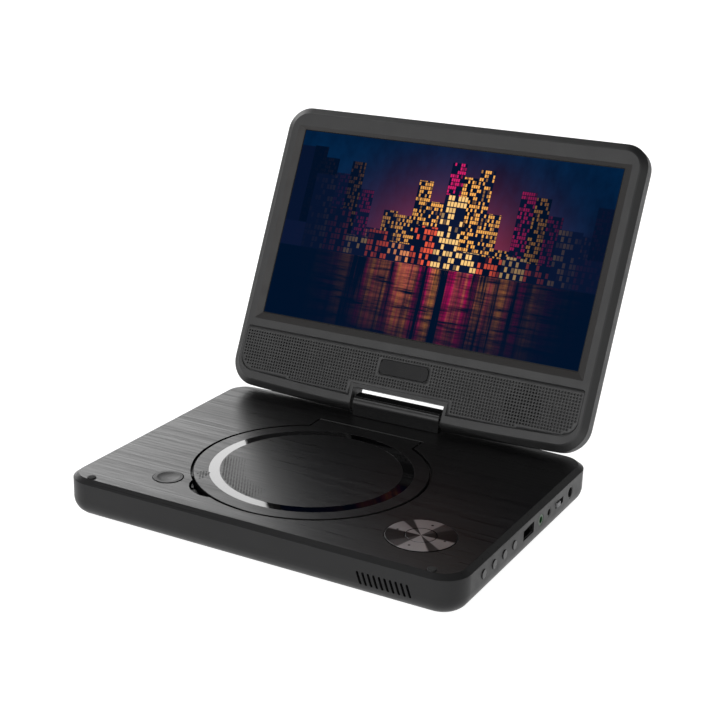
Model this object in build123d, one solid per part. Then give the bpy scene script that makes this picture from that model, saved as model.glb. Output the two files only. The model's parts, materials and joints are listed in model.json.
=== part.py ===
from build123d import *
import math
import os

# Portable disc player with a swivelling, tilting screen. Millimetres, +X to the right,
# +Y to the back, +Z up. The origin is the centre of the case's flat underside.

# ---- driving dimensions -------------------------------------------------------------
CASE_W = 225.0            # case width
CASE_D = 169.3            # case depth on the centre line
CASE_H = 21.5             # underside to deck
BACK_BOW = 3.3            # how far the back edge bows out beyond its corners
CORNER_R = 14.0           # plan radius of the case's corners
DECK_T = 2.4              # deck thickness, which is also the height of its edge bevel
BEVEL_WIDE = 3.0          # width of that bevel
WALL = 2.2                # case wall
FLOOR_T = 2.0             # case floor
CASE_FILLET = 9.0         # round between the case's sides and its underside
FOOT_H = 1.2              # feet stand this far below the underside

DOOR_X = -7.5             # disc door's centre
DOOR_Y = -9.5
DOOR_R = 61.7             # disc door's radius
DOOR_GAP = 1.4            # groove round the door
EDGE = 0.3                # bevel along the groove's edges
TAB_GAP = 0.6             # seam round the door's hinge tab
DOOR_T = 2.2              # door panel thickness
TAB_HALF = 32.0           # half width of the door's hinge tab
TAB_BACK = 64.6           # door centre to the tab's back edge
RING_OUT = 53.7           # glossy ring on the door
RING_IN = 47.8
RING_T = 0.8

LID_W = 222.0             # screen housing's width
LID_LEN = 168.0           # its height at the corners
LID_BOW = 3.3             # bow of its bottom edge
LID_BELOW = 4.0           # tilt axis to the bottom edge at the corners
LID_FRONT = 6.6           # tilt axis to the front face
LID_BACK = 6.0            # tilt axis to the back face
LID_TOP_R = 13.5          # corner radii of the housing
LID_BOTTOM_R = 15.5
LID_BACK_R = 3.4          # round of its back edge
LID_GAP = 0.8             # closed lid to deck
LID_SPLIT = 1.6           # height of the joint between bezel and rear cover
RIM_WIDE = 4.0            # bevel round its front rim
RIM_DEEP = 2.6
NOSE_R = 7.1              # bull-nose of the bottom edge, about the tilt axis
SCREEN_LEAN = 25.0        # how far the open screen leans back, in degrees
IMAGE_W = 197.0           # display's picture
IMAGE_H = 110.8
IMAGE_LOW = 39.5          # tilt axis to the picture's bottom edge

HINGE_Y = 76.3            # tilt axis, and swivel axis
BARREL_FRONT = 6.3        # hinge barrel's faces, from the tilt axis
BARREL_REAR = 5.7
BARREL_TOP = 4.2
BARREL_LOW = 7.1
BARREL_ROUND = 4.5        # round of its two top edges
BARREL_WALL = 0.9
BARREL_HALF = 27.0
NOTCH_HALF = 28.6         # notch in the housing round the barrel
NOTCH_TOP = 6.7
PIN_R = 1.8               # hinge pins

PORT_Z = 13.4             # height of the row of controls on the right side
RUN = 0.05                # running clearance of shafts and pins
SEAT = 0.02               # clearance of a piece that is fixed in its seat

# ---- derived places -----------------------------------------------------------------
FRONT_Y = -CASE_D / 2
CREASE_Z = CASE_H - DECK_T
AXIS_Z = CASE_H + LID_GAP + LID_FRONT
RIGHT_X = CASE_W / 2
LID_TOP = LID_LEN - LID_BELOW

os.makedirs("parts", exist_ok=True)


# ---- helpers ------------------------------------------------------------------------
def block(x0, x1, y0, y1, z0, z1):
    """Box between two corners."""
    return Pos((x0 + x1) / 2, (y0 + y1) / 2, (z0 + z1) / 2) * Box(x1 - x0, y1 - y0, z1 - z0)


def post(r, x, y, z0, z1):
    """Upright cylinder."""
    return Pos(x, y, (z0 + z1) / 2) * Cylinder(r, z1 - z0)


def rod_x(r, x0, x1, y, z):
    """Cylinder along X."""
    return Pos((x0 + x1) / 2, y, z) * Rot(0, 90, 0) * Cylinder(r, x1 - x0)


def rod_y(r, y0, y1, x, z):
    """Cylinder along Y."""
    return Pos(x, (y0 + y1) / 2, z) * Rot(90, 0, 0) * Cylinder(r, y1 - y0)


def tube(r_out, r_in, x, y, z0, z1):
    """Upright ring."""
    return post(r_out, x, y, z0, z1) - post(r_in, x, y, z0 - 1, z1 + 1)


def rounded(x0, x1, y0, y1, z0, z1, r):
    """Box with rounded upright edges."""
    face = Pos((x0 + x1) / 2, (y0 + y1) / 2) * RectangleRounded(x1 - x0, y1 - y0, r)
    return Pos(0, 0, z0) * extrude(face, z1 - z0)


def fused(shapes):
    """One solid from touching shapes."""
    whole = shapes[0]
    for shape in shapes[1:]:
        whole = whole + shape
    return whole


def save(name, shape):
    """Write one node, from one shape or from a list of separate solids."""
    solids = [s for piece in (shape if isinstance(shape, list) else [shape]) for s in piece.solids()]
    export_step(solids[0] if len(solids) == 1 else Compound(solids), f"parts/{name}.step")


def case_outline(inset):
    """Case outline: straight front and sides, bowed back, rounded corners."""
    half = CASE_W / 2 - inset
    front = FRONT_Y + inset
    back = CASE_D / 2 - inset
    corner = back - BACK_BOW
    edges = [
        Line((-half, front), (half, front)),
        Line((half, front), (half, corner)),
        ThreePointArc((half, corner), (0, back), (-half, corner)),
        Line((-half, corner), (-half, front)),
    ]
    face = make_face(edges)
    return fillet(face.vertices(), max(CORNER_R - inset, 3.0))


def case_slab(inset, z0, z1):
    return Pos(0, 0, z0) * extrude(case_outline(inset), z1 - z0)


def edges_at(shape, z):
    """Edges that lie in the level plane at z."""
    return [e for e in shape.edges() if abs(e.bounding_box().min.Z - z) < 1e-4
            and abs(e.bounding_box().max.Z - z) < 1e-4]


def door_outline(round_gap, tab_gap):
    """Disc door outline: a circle with a straight hinge tab at the back."""
    circle = Pos(DOOR_X, DOOR_Y) * Circle(DOOR_R + round_gap)
    tab = Rectangle(2 * (TAB_HALF + tab_gap), TAB_BACK + 2 * tab_gap)
    return circle + Pos(DOOR_X, DOOR_Y + TAB_BACK / 2) * tab


# ---- case ---------------------------------------------------------------------------
SCREW_SPOTS = [(-98, -70), (98, -70), (-98, 62), (98, 62), (84, 4)]
BOSS_R = 3.4
FOOT_SPOTS = [(-90, -66), (90, -66), (-90, 60), (90, 60)]
FOOT_R = 5.0
SIDE_BUTTON_Y = [-56.3 + 11.9 * i for i in range(4)]
SIDE_BUTTON_R = 2.3
USB_Y = -2.8
PHONES_Y = 12.8
AV_Y = 23.4
SWITCH_Y = 37.4
DC_Y = 52.6
NAV_X = 77.0
NAV_Y = -50.7
NAV_R = 17.4
OK_R = 7.6
OPEN_X = -64.5
OPEN_Y = -58.0
OPEN_R = 7.9
OPEN_TOP = CASE_H + 0.3
LOADER_X = [DOOR_X - 36, DOOR_X + 36]
LOADER_Y = [DOOR_Y - 62, DOOR_Y + 22]
VENT_X = 62.2
VENT_PITCH = 2.87
VENT_LEAN = 20.0
BUMPER_SPOTS = [(-97.0, FRONT_Y + 5.0), (97.0, FRONT_Y + 5.0)]
BUMPER_R = 2.3


def vent_slot(i):
    """Slanting slot in the front wall."""
    slot = Rot(90, 0, 0) * extrude(Rot(0, 0, 90) * SlotOverall(6.9, 1.25), 7, both=True)
    return Pos(VENT_X + VENT_PITCH * i, FRONT_Y, 10.0) * Rot(0, -VENT_LEAN, 0) * slot


def bottom_case():
    outer = fillet(edges_at(case_slab(0, 0, CREASE_Z), 0), CASE_FILLET)
    hollow = case_slab(WALL, FLOOR_T, CREASE_Z)
    hollow = fillet(edges_at(hollow, FLOOR_T), CASE_FILLET - WALL)
    shell = outer - (hollow + case_slab(WALL, CREASE_Z - 1, CREASE_Z + 1))
    bosses = [post(BOSS_R, x, y, FLOOR_T - 0.5, CREASE_Z) for x, y in SCREW_SPOTS]
    bosses += [post(4.0, x, y, FLOOR_T - 0.5, 4.0) for x in LOADER_X for y in LOADER_Y]
    shell = fused([shell] + bosses)
    for x, y in SCREW_SPOTS:
        shell -= post(1.3, x, y, -1, CREASE_Z + 1)
        shell -= post(2.6, x, y, -1, 1.4)
    for x in LOADER_X:
        for y in LOADER_Y:
            shell -= post(1.1, x, y, 1.0, 5.0)
    for x, y in FOOT_SPOTS:
        shell -= post(FOOT_R + SEAT, x, y, -1, 0.8)
    for i in range(10):
        shell -= vent_slot(i)
    for y in SIDE_BUTTON_Y:
        shell -= rod_x(SIDE_BUTTON_R + 0.2, RIGHT_X - 4, RIGHT_X + 1, y, PORT_Z)
    shell -= block(RIGHT_X - 4, RIGHT_X + 1, USB_Y - 6.6, USB_Y + 6.6, PORT_Z - 2.9, PORT_Z + 2.9)
    shell -= rod_x(3.1, RIGHT_X - 4, RIGHT_X + 1, PHONES_Y, PORT_Z)
    shell -= rod_x(2.6, RIGHT_X - 4, RIGHT_X + 1, AV_Y, PORT_Z)
    shell -= block(RIGHT_X - 4, RIGHT_X + 1, SWITCH_Y - 5.2, SWITCH_Y + 5.2, PORT_Z - 1.7, PORT_Z + 1.7)
    shell -= rod_x(3.4, RIGHT_X - 4, RIGHT_X + 1, DC_Y, PORT_Z)
    return shell


def scallop():
    """Finger scallop at the door's front left edge."""
    turn = math.radians(236)
    radius = 16.0
    reach = DOOR_R + DOOR_GAP + 4.2 - radius
    return DOOR_X + reach * math.cos(turn), DOOR_Y + reach * math.sin(turn), radius


PIN_Z = CASE_H - 1.5
PIN_Y = DOOR_Y + TAB_BACK - 2.2
DOOR_PIN_R = 0.8


def top_deck():
    deck = case_slab(0, CREASE_Z, CASE_H)
    top = deck.faces().sort_by(Axis.Z)[-1]
    deck = chamfer(edges_at(deck, CASE_H), BEVEL_WIDE, DECK_T - 0.2, reference=top)
    deck = deck + block(-8, 8, 66, 80.5, CREASE_Z - 1.0, CREASE_Z + 1)
    for side in (-1, 1):
        x = DOOR_X + side * (TAB_HALF + 3.6)
        deck = deck + block(x - 2.8, x + 2.8, PIN_Y - 3.2, PIN_Y + 3.2, CREASE_Z - 1.8, CREASE_Z + 1)
    deck -= Pos(0, 0, CREASE_Z - 5) * extrude(door_outline(DOOR_GAP, TAB_GAP), 10)
    groove = [e for e in edges_at(deck, CASE_H)
              if abs(e.center().X - DOOR_X) < 70 and abs(e.center().Y) < 66]
    deck = chamfer(groove, EDGE)
    sx, sy, radius = scallop()
    deck -= post(radius, sx, sy, CREASE_Z - 1, CASE_H + 1)
    for side in (-1, 1):
        x = DOOR_X + side * TAB_HALF
        deck -= rod_x(DOOR_PIN_R + RUN, *sorted((x, x + side * 5.0)), PIN_Y, PIN_Z)
    deck -= post(OPEN_R + 0.25, OPEN_X, OPEN_Y, CREASE_Z - 1, CASE_H + 1)
    deck -= post(NAV_R + 0.35, NAV_X, NAV_Y, CREASE_Z - 1, CASE_H + 1)
    deck -= post(5.2 + SEAT, 0, HINGE_Y, CREASE_Z - 3, CASE_H + 1)
    for x, y in BUMPER_SPOTS:
        deck -= post(BUMPER_R + SEAT, x, y, CASE_H - 1.0, CASE_H + 1)
    return deck


def latch_way():
    """Placement of the latch: X points from the door's centre out past the open button."""
    turn = math.atan2(OPEN_Y - DOOR_Y, OPEN_X - DOOR_X)
    return Pos(DOOR_X, DOOR_Y, 0) * Rot(0, 0, math.degrees(turn))


WELL_IN = 61.2            # disc well's inner radius, round a 120 mm disc
WELL_FLOOR = 12.0         # underside of its floor
WELL_T = 1.4


def disc_well():
    """Bowl under the door that the disc turns in, with a window for the pickup."""
    rim_z = CREASE_Z - 1.4
    tray = tube(WELL_IN + 1.5, WELL_IN, DOOR_X, DOOR_Y, WELL_FLOOR, CREASE_Z)
    tray = tray + tube(66.5, WELL_IN, DOOR_X, DOOR_Y, rim_z, CREASE_Z)
    tray = tray + post(WELL_IN + 1, DOOR_X, DOOR_Y, WELL_FLOOR, WELL_FLOOR + WELL_T)
    shelf = block(DOOR_X - 40, DOOR_X + 40, DOOR_Y + 48, DOOR_Y + TAB_BACK + 3, 15.0, 16.4)
    tray = tray + (shelf - post(WELL_IN + 1, DOOR_X, DOOR_Y, 10, 20))
    sx, sy, radius = scallop()
    cup = post(radius + 1.7, sx, sy, 15.0, CREASE_Z) - post(radius + 0.5, sx, sy, 16.2, 25)
    tray = tray + (cup - post(WELL_IN + 1, DOOR_X, DOOR_Y, 10, 25))
    tray -= post(radius + 0.5, sx, sy, 16.2, 25)
    tray -= block(DOOR_X - 33.2, DOOR_X + 33.2, DOOR_Y + 46, DOOR_Y + TAB_BACK + 6, 16.4, 25)
    for side in (-1, 1):
        x = DOOR_X + side * (TAB_HALF + 3.6)
        tray -= block(x - 3.2, x + 3.2, PIN_Y - 3.6, PIN_Y + 3.6, 16.8, 25)
    tray -= post(17.0, DOOR_X, DOOR_Y, 10, 15)
    tray -= block(DOOR_X - 17, DOOR_X + 17, DOOR_Y - 58.6, DOOR_Y - 10, 10, 15)
    tray -= latch_way() * block(54, 70, -5.5, 5.5, 15.0, 17.5)
    tray -= latch_way() * block(59, 64.5, -5.0, 5.0, 14.8, 25)
    tray -= post(OPEN_R + 1.5, OPEN_X, OPEN_Y, 10, 25)
    return tray


def rubber_feet():
    feet = []
    for x, y in FOOT_SPOTS:
        foot = post(FOOT_R, x, y, -FOOT_H, 0.8)
        feet.append(fillet(edges_at(foot, -FOOT_H), 0.5))
    return feet


def lid_bumpers():
    bumpers = []
    for x, y in BUMPER_SPOTS:
        bumper = post(BUMPER_R, x, y, CASE_H - 1.0, CASE_H + 0.6)
        bumpers.append(fillet(edges_at(bumper, CASE_H + 0.6), 0.4))
    return bumpers


def screw(x, y, z_head, z_tip, r_head, r_shank):
    """Pan-head screw whose head's outer face is at z_head."""
    way = 1 if z_tip > z_head else -1
    head = post(r_head, x, y, *sorted((z_head, z_head + way * 1.1)))
    shank = post(r_shank, x, y, *sorted((z_head + way, z_tip)))
    slot = block(x - 1.3, x + 1.3, y - 0.25, y + 0.25, z_head - 0.4, z_head + 0.4)
    cross = block(x - 0.25, x + 0.25, y - 1.3, y + 1.3, z_head - 0.4, z_head + 0.4)
    return (head + shank) - slot - cross


def case_screws():
    return [screw(x, y, 0.25, 15, 2.4, 1.28) for x, y in SCREW_SPOTS]


def battery_pack():
    pack = rounded(-104, -71, -62, 52, 2.3, 11.3, 2.0)
    return fillet(edges_at(pack, 11.3), 1.0)


def main_board():
    board = block(60, 103, 12, 72, 5.0, 6.6) - post(4.4, 98, 62, 4, 8) - post(4.4, 84, 4, 4, 8)
    chips = [(66, 80, 24, 38, 8.0), (84, 94, 26, 34, 7.8), (66, 78, 46, 56, 9.0), (84, 90, 48, 52, 9.5)]
    return fused([board] + [block(a, b, c, d, 6.5, top) for a, b, c, d, top in chips])


def board_posts():
    """Standoffs under the main board."""
    return [tube(2.5, 1.0, x, y, FLOOR_T, 5.0) for x, y in ((64, 16), (64, 68), (92, 16))]


# ---- ports and switches on the right side -------------------------------------------
def usb_socket():
    x0 = RIGHT_X - 14.5
    x1 = RIGHT_X - 0.6
    shell = block(x0, x1, USB_Y - 6.5, USB_Y + 6.5, PORT_Z - 2.8, PORT_Z + 2.8)
    shell -= block(x0 + 1, x1 + 1, USB_Y - 6.0, USB_Y + 6.0, PORT_Z - 2.3, PORT_Z + 2.3)
    tongue = block(x0 + 0.5, x1 - 1.2, USB_Y - 5.2, USB_Y + 5.2, PORT_Z + 0.1, PORT_Z + 1.9)
    return shell + tongue


def round_jack(y, r_out, r_in, depth):
    body = block(RIGHT_X - 14, RIGHT_X - WALL - 0.2, y - 4.2, y + 4.2, PORT_Z - 4.0, PORT_Z + 3.6)
    body = body + rod_x(r_out, RIGHT_X - 4, RIGHT_X - 0.1, y, PORT_Z)
    return body - rod_x(r_in, RIGHT_X - depth, RIGHT_X + 1, y, PORT_Z)


def dc_jack():
    body = round_jack(DC_Y, 3.3, 2.75, 11)
    return body + rod_x(0.65, RIGHT_X - 12, RIGHT_X - 2.0, DC_Y, PORT_Z)


def power_switch_body():
    body = block(RIGHT_X - 8, RIGHT_X - WALL - 0.2, SWITCH_Y - 5.6, SWITCH_Y + 5.6, PORT_Z - 3, PORT_Z + 3)
    return body - block(RIGHT_X - 5.6, RIGHT_X, SWITCH_Y - 4.8, SWITCH_Y + 4.8, PORT_Z - 1.4, PORT_Z + 1.4)


def power_switch():
    foot = block(RIGHT_X - 5.3, RIGHT_X - 3.4, SWITCH_Y - 4.4, SWITCH_Y + 0.4, PORT_Z - 1.1, PORT_Z + 1.1)
    knob = block(RIGHT_X - 3.6, RIGHT_X + 0.7, SWITCH_Y - 4.0, SWITCH_Y, PORT_Z - 1.2, PORT_Z + 1.2)
    ribs = [block(RIGHT_X + 0.4, RIGHT_X + 1, y - 0.25, y + 0.25, PORT_Z - 2, PORT_Z + 2)
            for y in (SWITCH_Y - 3, SWITCH_Y - 2, SWITCH_Y - 1)]
    knob = fused([foot, knob])
    for rib in ribs:
        knob -= rib
    return knob


def side_button(y):
    cap = rod_x(SIDE_BUTTON_R, RIGHT_X - 4.2, RIGHT_X + 0.45, y, PORT_Z)
    cap = fillet([e for e in cap.edges() if e.bounding_box().min.X > RIGHT_X], 0.35)
    return cap + rod_x(3.1, RIGHT_X - 4.2, RIGHT_X - 2.5, y, PORT_Z)


def side_key_board():
    y0 = SIDE_BUTTON_Y[0]
    y1 = SIDE_BUTTON_Y[-1]
    board = block(RIGHT_X - 8.4, RIGHT_X - 7.2, y0 - 6, y1 + 6, PORT_Z - 4.6, PORT_Z + 3.6)
    keys = [block(RIGHT_X - 7.3, RIGHT_X - 4.9, y - 2.2, y + 2.2, PORT_Z - 2.2, PORT_Z + 2.2)
            for y in SIDE_BUTTON_Y]
    return fused([board] + keys)


# ---- controls on the deck -----------------------------------------------------------
NAV_TOP = CASE_H + 0.3


def nav_ring():
    ring = post(NAV_R, NAV_X, NAV_Y, CREASE_Z - 1, NAV_TOP)
    ring = fillet(edges_at(ring, NAV_TOP), 0.3)
    ring = ring + post(NAV_R + 1.2, NAV_X, NAV_Y, CREASE_Z - 1.3, CREASE_Z - 0.1)
    ring -= post(OK_R + 0.35, NAV_X, NAV_Y, 10, CASE_H + 2)
    for i in range(4):
        turn = math.radians(90 * i)
        x = NAV_X + 12.5 * math.cos(turn)
        y = NAV_Y + 12.5 * math.sin(turn)
        ring -= post(0.6, x, y, NAV_TOP - 0.25, NAV_TOP + 1)
    return ring


def ok_button():
    cap = post(OK_R, NAV_X, NAV_Y, CREASE_Z - 2.5, NAV_TOP)
    cap = fillet(edges_at(cap, NAV_TOP), 0.3)
    return cap + post(OK_R + 1.2, NAV_X, NAV_Y, CREASE_Z - 3.0, CREASE_Z - 2.0)


def nav_key_board():
    board = rounded(NAV_X - 18, NAV_X + 18, NAV_Y - 18, NAV_Y + 18, 11.6, 12.8, 4)
    keys = [(NAV_X, NAV_Y, 15.4)]
    for i in range(4):
        turn = math.radians(90 * i)
        keys.append((NAV_X + 13 * math.cos(turn), NAV_Y + 13 * math.sin(turn), 16.9))
    return fused([board] + [block(x - 2.4, x + 2.4, y - 2.4, y + 2.4, 12.7, z) for x, y, z in keys])


def open_button():
    cap = post(OPEN_R, OPEN_X, OPEN_Y, CREASE_Z - 1, OPEN_TOP)
    cap = fillet(edges_at(cap, OPEN_TOP), 0.4)
    ball = Pos(OPEN_X, OPEN_Y, OPEN_TOP + 28.9) * Sphere(29.5)
    flange = post(OPEN_R + 1.0, OPEN_X, OPEN_Y, CREASE_Z - 1.0, CREASE_Z - 0.1)
    stem = post(2.0, OPEN_X, OPEN_Y, 13.0, CREASE_Z)
    return fused([cap - ball, flange, stem])


def door_latch():
    """Latch bar that the open button's stem draws outwards, clear of the stem and the hook."""
    stem = math.hypot(OPEN_X - DOOR_X, OPEN_Y - DOOR_Y)
    bar = block(DOOR_R + 0.4, stem + 8, -4.5, 4.5, 15.5, 16.8)
    bar -= block(stem - 4.2, stem + 4.8, -2.4, 2.4, 15, 19)
    return latch_way() * bar


# ---- disc door ----------------------------------------------------------------------
def door_panel():
    under = CASE_H - DOOR_T
    panel = Pos(0, 0, under) * extrude(door_outline(0, 0), DOOR_T)
    panel = chamfer(edges_at(panel, CASE_H), EDGE)
    panel = panel + tube(22, 20, DOOR_X, DOOR_Y, under - 0.5, under + 0.5)
    panel -= tube(RING_OUT + SEAT, RING_IN - SEAT, DOOR_X, DOOR_Y, CASE_H - RING_T, CASE_H + 1)
    hook = block(DOOR_R - 1.2, DOOR_R - 0.1, -4, 4, 15.4, under + 0.2)
    panel = panel + latch_way() * hook
    for side in (-1, 1):
        x = DOOR_X + side * TAB_HALF
        panel -= rod_x(DOOR_PIN_R + 0.01, *sorted((x - side * 8, x + side)), PIN_Y, PIN_Z)
    return panel


def door_ring():
    return tube(RING_OUT, RING_IN, DOOR_X, DOOR_Y, CASE_H - RING_T + 0.01, CASE_H)


def door_pins():
    pins = []
    for side in (-1, 1):
        x = DOOR_X + side * TAB_HALF
        pins.append(rod_x(DOOR_PIN_R, *sorted((x - side * 7.8, x + side * 4.4)), PIN_Y, PIN_Z))
    return pins


# ---- disc drive ---------------------------------------------------------------------
ROD_Z = 7.4
ROD_R = 1.5
ROD_X = [DOOR_X - 20, DOOR_X + 20]
ROD_LUG_Y = [DOOR_Y - 62.0, DOOR_Y - 11.5]
SLED_Y = DOOR_Y - 27
SCREW_X = DOOR_X + 26.5
DISC_Z = 15.9


def loader_chassis():
    plate = rounded(LOADER_X[0] - 5, LOADER_X[1] + 5, LOADER_Y[0] - 5, LOADER_Y[1] + 5, 8.9, 10.1, 5)
    plate -= block(DOOR_X - 16, DOOR_X + 16, DOOR_Y - 63.5, DOOR_Y - 9.5, 8, 11)
    plate -= block(ROD_X[0] - 2.6, SCREW_X + 3, DOOR_Y - 60.7, DOOR_Y - 14, 8, 11)
    plate -= block(SCREW_X - 4.6, SCREW_X + 4.6, DOOR_Y - 8.4, DOOR_Y + 8.4, 8, 11)
    plate -= post(11.2, DOOR_X, DOOR_Y, 8, 11)
    for x in ROD_X:
        for y in ROD_LUG_Y:
            lug = block(x - 2.4, x + 2.4, y - 1.2, y + 1.2, ROD_Z - 2.4, 9.5)
            plate = plate + (lug - rod_y(ROD_R + SEAT, y - 2, y + 2, x, ROD_Z))
    for y in ROD_LUG_Y:
        lug = block(SCREW_X - 2.4, SCREW_X + 2.4, y - 1.2, y + 1.2, ROD_Z - 2.4, 9.5)
        plate = plate + (lug - rod_y(1.0 + RUN, y - 2, y + 2, SCREW_X, ROD_Z))
    for x in LOADER_X:
        for y in LOADER_Y:
            plate -= post(1.6, x, y, 8, 11)
    return plate


def loader_dampers():
    return [tube(3.6, 1.5, x, y, 4.0, 8.9) for x in LOADER_X for y in LOADER_Y]


def loader_screws():
    return [screw(x, y, 11.3, 2.4, 2.6, 1.08) for x in LOADER_X for y in LOADER_Y]


def guide_rods():
    return [rod_y(ROD_R, DOOR_Y - 63.5, DOOR_Y - 10, x, ROD_Z) for x in ROD_X]


def spindle_motor():
    can = post(10.8, DOOR_X, DOOR_Y, 3.0, 10.6)
    can -= post(1.0 + RUN, DOOR_X, DOOR_Y, 2, 12)
    return can


def motor_mount():
    """Plate that joins the spindle motor to the chassis."""
    ring = tube(14.5, 10.8 + SEAT, DOOR_X, DOOR_Y, 10.1, 11.3)
    return ring - block(DOOR_X - 20, DOOR_X + 20, DOOR_Y - 20, DOOR_Y - 8.5, 9, 12)


def spindle_shaft():
    return post(1.0, DOOR_X, DOOR_Y, 3.4, 17.0)


def spindle_hub():
    """Turntable and centring nose for the disc's 15 mm hole."""
    table = post(14.5, DOOR_X, DOOR_Y, 13.2, DISC_Z)
    nose = post(7.4, DOOR_X, DOOR_Y, DISC_Z - 0.5, 18.0)
    nose = fillet(edges_at(nose, 18.0), 0.6)
    skirt = tube(10.5, 9.0, DOOR_X, DOOR_Y, 11.5, 13.4)
    hub = fused([table, nose, skirt])
    hub -= post(1.0 + 0.01, DOOR_X, DOOR_Y, 10, 17.02)
    for i in range(3):
        turn = math.radians(90 + 120 * i)
        hub -= block(DOOR_X - 0.9, DOOR_X + 0.9, DOOR_Y - 0.9, DOOR_Y + 0.9, 17.3, 19).moved(
            Location((5.4 * math.cos(turn), 5.4 * math.sin(turn), 0)))
    return hub


def pickup_body():
    body = rounded(DOOR_X - 15, DOOR_X + 15, SLED_Y - 7.5, SLED_Y + 7.5, 4.2, 11.4, 2)
    left = block(ROD_X[0] - 2.3, DOOR_X - 14, SLED_Y - 5, SLED_Y + 5, ROD_Z - 2.6, ROD_Z + 2.6)
    right = block(DOOR_X + 14, ROD_X[1] + 2.3, SLED_Y - 5, SLED_Y + 5, ROD_Z - 2.6, ROD_Z + 2.6)
    nut = block(ROD_X[1] + 2, SCREW_X + 2.4, SLED_Y - 3, SLED_Y + 3, ROD_Z - 3.4, ROD_Z - 1.9)
    sled = fused([body, left, right, nut])
    for x in ROD_X:
        sled -= rod_y(ROD_R + RUN, SLED_Y - 20, SLED_Y + 20, x, ROD_Z)
    sled -= post(3.2, DOOR_X, SLED_Y, 10.0, 12)
    return sled


def pickup_lens():
    holder = post(3.1, DOOR_X, SLED_Y, 10.05, 12.6)
    dome = Pos(DOOR_X, SLED_Y, 12.6 - 3.2) * Sphere(4.0) & post(2.2, DOOR_X, SLED_Y, 12.5, 14)
    return holder + dome


def lead_screw():
    core = rod_y(1.0, DOOR_Y - 63.5, DOOR_Y - 5, SCREW_X, ROD_Z)
    threads = [rod_y(1.5, y, y + 0.8, SCREW_X, ROD_Z)
               for y in [DOOR_Y - 60.0 + 1.5 * i for i in range(31)]]
    return fused([core] + threads)


def sled_motor():
    can = rod_y(4.3, DOOR_Y - 8, DOOR_Y + 8, SCREW_X, ROD_Z - 0.4)
    return can - rod_y(1.3, DOOR_Y - 9, DOOR_Y - 4, SCREW_X, ROD_Z)


# ---- swivel hinge -------------------------------------------------------------------
NECK_R = 4.5
SHAFT_R = 3.9


def swivel_bush():
    return tube(5.2, SHAFT_R + RUN, 0, HINGE_Y, CREASE_Z - 1.0, CASE_H)


def swivel_neck():
    neck = post(NECK_R, 0, HINGE_Y, CASE_H + 0.2, AXIS_Z - 3.0)
    return neck + post(SHAFT_R, 0, HINGE_Y, 15.6, CASE_H + 1)


def swivel_clip():
    """Retaining washer under the deck."""
    return tube(5.6, SHAFT_R + 0.01, 0, HINGE_Y, 16.0, 17.8)


def barrel_body(inset, ends):
    """Barrel's outside, or its hollow, as a block with two rounded top edges."""
    y0, y1 = HINGE_Y - BARREL_FRONT + inset, HINGE_Y + BARREL_REAR - inset
    z0, z1 = AXIS_Z - BARREL_LOW + inset, AXIS_Z + BARREL_TOP - inset
    body = block(-BARREL_HALF + ends, BARREL_HALF - ends, y0, y1, z0, z1)
    long_edges = [e for e in edges_at(body, z1) if e.length > 20]
    return fillet(long_edges, BARREL_ROUND - inset)


def barrel_half(sign):
    """Hinge barrel, split near its top: sign -1 is the body, 1 its cover strip."""
    shell = barrel_body(0, 0) - barrel_body(BARREL_WALL, 1.6)
    shell -= rod_x(PIN_R + 0.1, -40, 40, HINGE_Y, AXIS_Z)
    seam_z = AXIS_Z + BARREL_TOP - BARREL_WALL + 0.1
    far_z = seam_z + 20 * sign
    keep = block(-40, 40, HINGE_Y - 10, HINGE_Y + 10, *sorted((seam_z + sign * 0.1, far_z)))
    return (shell & keep) - post(NECK_R + SEAT, 0, HINGE_Y, 10, AXIS_Z - 3)


def hinge_bracket():
    bracket = block(-22, 22, HINGE_Y - 2.6, HINGE_Y + 2.6, AXIS_Z - 3.0, AXIS_Z + 2.5)
    return bracket - rod_x(PIN_R + 0.01, -30, 30, HINGE_Y, AXIS_Z)


def hinge_pins():
    return [rod_x(PIN_R, *sorted((side * 8, side * 41)), HINGE_Y, AXIS_Z) for side in (-1, 1)]


# ---- screen housing, in its own frame: Y up the screen, Z out of its face, tilt axis at 0
PLACE = Pos(0, HINGE_Y, AXIS_Z) * Rot(90 - SCREEN_LEAN, 0, 0)
LUG_X = [33.0, 39.0]
LID_SCREW_SPOTS = [(-106.2, 12), (106.2, 12), (-106.2, 148), (106.2, 148)]
SPEAKER_X = 73.0
SPEAKER_Y = 15.5
SPEAKER_R = 12.5
OPENING = (-103.0, 103.0, 34.8, 152.8)
VIEW_MARGIN = 0.4         # picture's edge to the foot of the sloping surround
GRILLE_HALF = 105.5
GRILLE_TOP = 30.2
GRILLE_LOW = 4.2          # its bottom edge at the corners
GRILLE_BOW = 3.0
BADGE = (-15.0, 15.0, 17.2, 25.4)


def lid_outline(inset):
    half = LID_W / 2 - inset
    low = -LID_BELOW + inset
    top = LID_TOP - inset
    corners = [(-half, low), (half, low), (half, top), (-half, top)]
    edges = [
        ThreePointArc(corners[0], (0, low - LID_BOW), corners[1]),
        Line(corners[1], corners[2]),
        Line(corners[2], corners[3]),
        Line(corners[3], corners[0]),
    ]
    face = make_face(edges)
    bottom = [v for v in face.vertices() if v.Y < 50]
    face = fillet(bottom, max(LID_BOTTOM_R - inset, 3))
    return fillet([v for v in face.vertices() if v.Y > top - 0.01 and abs(v.X) > half - 0.01],
                  max(LID_TOP_R - inset, 3))


def lid_slab(inset, z0, z1):
    return Pos(0, 0, z0) * extrude(lid_outline(inset), z1 - z0)


def lid_trim(solid):
    """Cut the bull-nose of the bottom edge and the notch round the hinge barrel."""
    below = block(-130, 130, -30, 0, -20, 20) - rod_x(NOSE_R, -131, 131, 0, 0)
    notch = block(-NOTCH_HALF, NOTCH_HALF, -30, NOTCH_TOP, -20, 20)
    return (solid - below) - notch


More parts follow.
